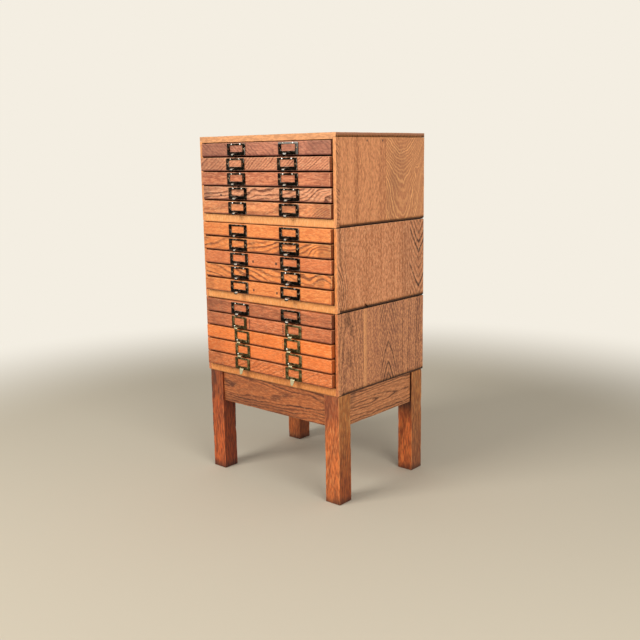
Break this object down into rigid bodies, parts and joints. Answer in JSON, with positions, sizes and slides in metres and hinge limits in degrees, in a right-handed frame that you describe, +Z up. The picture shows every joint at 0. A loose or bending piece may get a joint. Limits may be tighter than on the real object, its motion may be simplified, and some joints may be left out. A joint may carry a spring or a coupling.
{
  "type": "stacking flat file cabinet on a stand",
  "caption": "Tall narrow stack of wooden cases with shallow flat file drawers, each with card frame finger pulls, on a stand with square legs and aprons.",
  "frame": {"origin": "on the floor under the centre of the bounding box", "axes": "+Z up, the drawers face -Y and pull out along -Y, +X is to the right seen from the front"},
  "size_m": [0.504, 0.4158, 0.979],
  "materials": {
    "stand_oak": "dark reddish brown oiled oak",
    "case_oak": "mid brown oiled oak",
    "top_oak": "light golden oak",
    "back_oak": "plain oiled oak",
    "drawer_oak": "orange brown oiled oak",
    "dark_bronze": "blackened bronze with worn bright edges",
    "aged_brass": "aged olive brass"
  },
  "bodies": {
    "cabinet": {"apron_back": "stand_oak", "apron_front": "stand_oak", "apron_left": "stand_oak", "apron_right": "stand_oak", "leg_back_left": "stand_oak", "leg_back_right": "stand_oak", "leg_front_left": "stand_oak", "leg_front_right": "stand_oak", "lower_case": "case_oak", "middle_case": "case_oak", "upper_case": "case_oak", "lower_case_back": "back_oak", "middle_case_back": "back_oak", "upper_case_back": "back_oak", "top_board": "top_oak"},
    "drawer_01": {"drawer_01": "drawer_oak", "drawer_01_pull_left": "dark_bronze", "drawer_01_pull_right": "dark_bronze"},
    "drawer_02": {"drawer_02": "drawer_oak", "drawer_02_pull_left": "dark_bronze", "drawer_02_pull_right": "dark_bronze"},
    "drawer_03": {"drawer_03": "drawer_oak", "drawer_03_pull_left": "dark_bronze", "drawer_03_pull_right": "dark_bronze"},
    "drawer_04": {"drawer_04": "drawer_oak", "drawer_04_pull_left": "dark_bronze", "drawer_04_pull_right": "dark_bronze"},
    "drawer_05": {"drawer_05": "drawer_oak", "drawer_05_pull_left": "dark_bronze", "drawer_05_pull_right": "dark_bronze"},
    "drawer_06": {"drawer_06": "drawer_oak", "drawer_06_pull_left": "dark_bronze", "drawer_06_pull_right": "dark_bronze"},
    "drawer_07": {"drawer_07": "drawer_oak", "drawer_07_pull_left": "dark_bronze", "drawer_07_pull_right": "dark_bronze"},
    "drawer_08": {"drawer_08": "drawer_oak", "drawer_08_pull_left": "dark_bronze", "drawer_08_pull_right": "dark_bronze"},
    "drawer_09": {"drawer_09": "drawer_oak", "drawer_09_pull_left": "dark_bronze", "drawer_09_pull_right": "dark_bronze"},
    "drawer_10": {"drawer_10": "drawer_oak", "drawer_10_pull_left": "dark_bronze", "drawer_10_pull_right": "dark_bronze"},
    "drawer_11": {"drawer_11": "drawer_oak", "drawer_11_pull_left": "dark_bronze", "drawer_11_pull_right": "dark_bronze"},
    "drawer_12": {"drawer_12": "drawer_oak", "drawer_12_pull_left": "aged_brass", "drawer_12_pull_right": "aged_brass"},
    "drawer_13": {"drawer_13": "drawer_oak", "drawer_13_pull_left": "aged_brass", "drawer_13_pull_right": "aged_brass"},
    "drawer_14": {"drawer_14": "drawer_oak", "drawer_14_pull_left": "aged_brass", "drawer_14_pull_right": "aged_brass"},
    "drawer_15": {"drawer_15": "drawer_oak", "drawer_15_pull_left": "aged_brass", "drawer_15_pull_right": "aged_brass"}
  },
  "joints": [
    {"name": "drawer_01_slide", "type": "slide", "parent": "cabinet", "child": "drawer_01", "axis": [0, -1, 0], "range_m": [0, 0.264]},
    {"name": "drawer_02_slide", "type": "slide", "parent": "cabinet", "child": "drawer_02", "axis": [0, -1, 0], "range_m": [0, 0.264]},
    {"name": "drawer_03_slide", "type": "slide", "parent": "cabinet", "child": "drawer_03", "axis": [0, -1, 0], "range_m": [0, 0.264]},
    {"name": "drawer_04_slide", "type": "slide", "parent": "cabinet", "child": "drawer_04", "axis": [0, -1, 0], "range_m": [0, 0.264]},
    {"name": "drawer_05_slide", "type": "slide", "parent": "cabinet", "child": "drawer_05", "axis": [0, -1, 0], "range_m": [0, 0.264]},
    {"name": "drawer_06_slide", "type": "slide", "parent": "cabinet", "child": "drawer_06", "axis": [0, -1, 0], "range_m": [0, 0.264]},
    {"name": "drawer_07_slide", "type": "slide", "parent": "cabinet", "child": "drawer_07", "axis": [0, -1, 0], "range_m": [0, 0.264]},
    {"name": "drawer_08_slide", "type": "slide", "parent": "cabinet", "child": "drawer_08", "axis": [0, -1, 0], "range_m": [0, 0.264]},
    {"name": "drawer_09_slide", "type": "slide", "parent": "cabinet", "child": "drawer_09", "axis": [0, -1, 0], "range_m": [0, 0.264]},
    {"name": "drawer_10_slide", "type": "slide", "parent": "cabinet", "child": "drawer_10", "axis": [0, -1, 0], "range_m": [0, 0.264]},
    {"name": "drawer_11_slide", "type": "slide", "parent": "cabinet", "child": "drawer_11", "axis": [0, -1, 0], "range_m": [0, 0.264]},
    {"name": "drawer_12_slide", "type": "slide", "parent": "cabinet", "child": "drawer_12", "axis": [0, -1, 0], "range_m": [0, 0.264]},
    {"name": "drawer_13_slide", "type": "slide", "parent": "cabinet", "child": "drawer_13", "axis": [0, -1, 0], "range_m": [0, 0.264]},
    {"name": "drawer_14_slide", "type": "slide", "parent": "cabinet", "child": "drawer_14", "axis": [0, -1, 0], "range_m": [0, 0.264]},
    {"name": "drawer_15_slide", "type": "slide", "parent": "cabinet", "child": "drawer_15", "axis": [0, -1, 0], "range_m": [0, 0.264]}
  ]
}
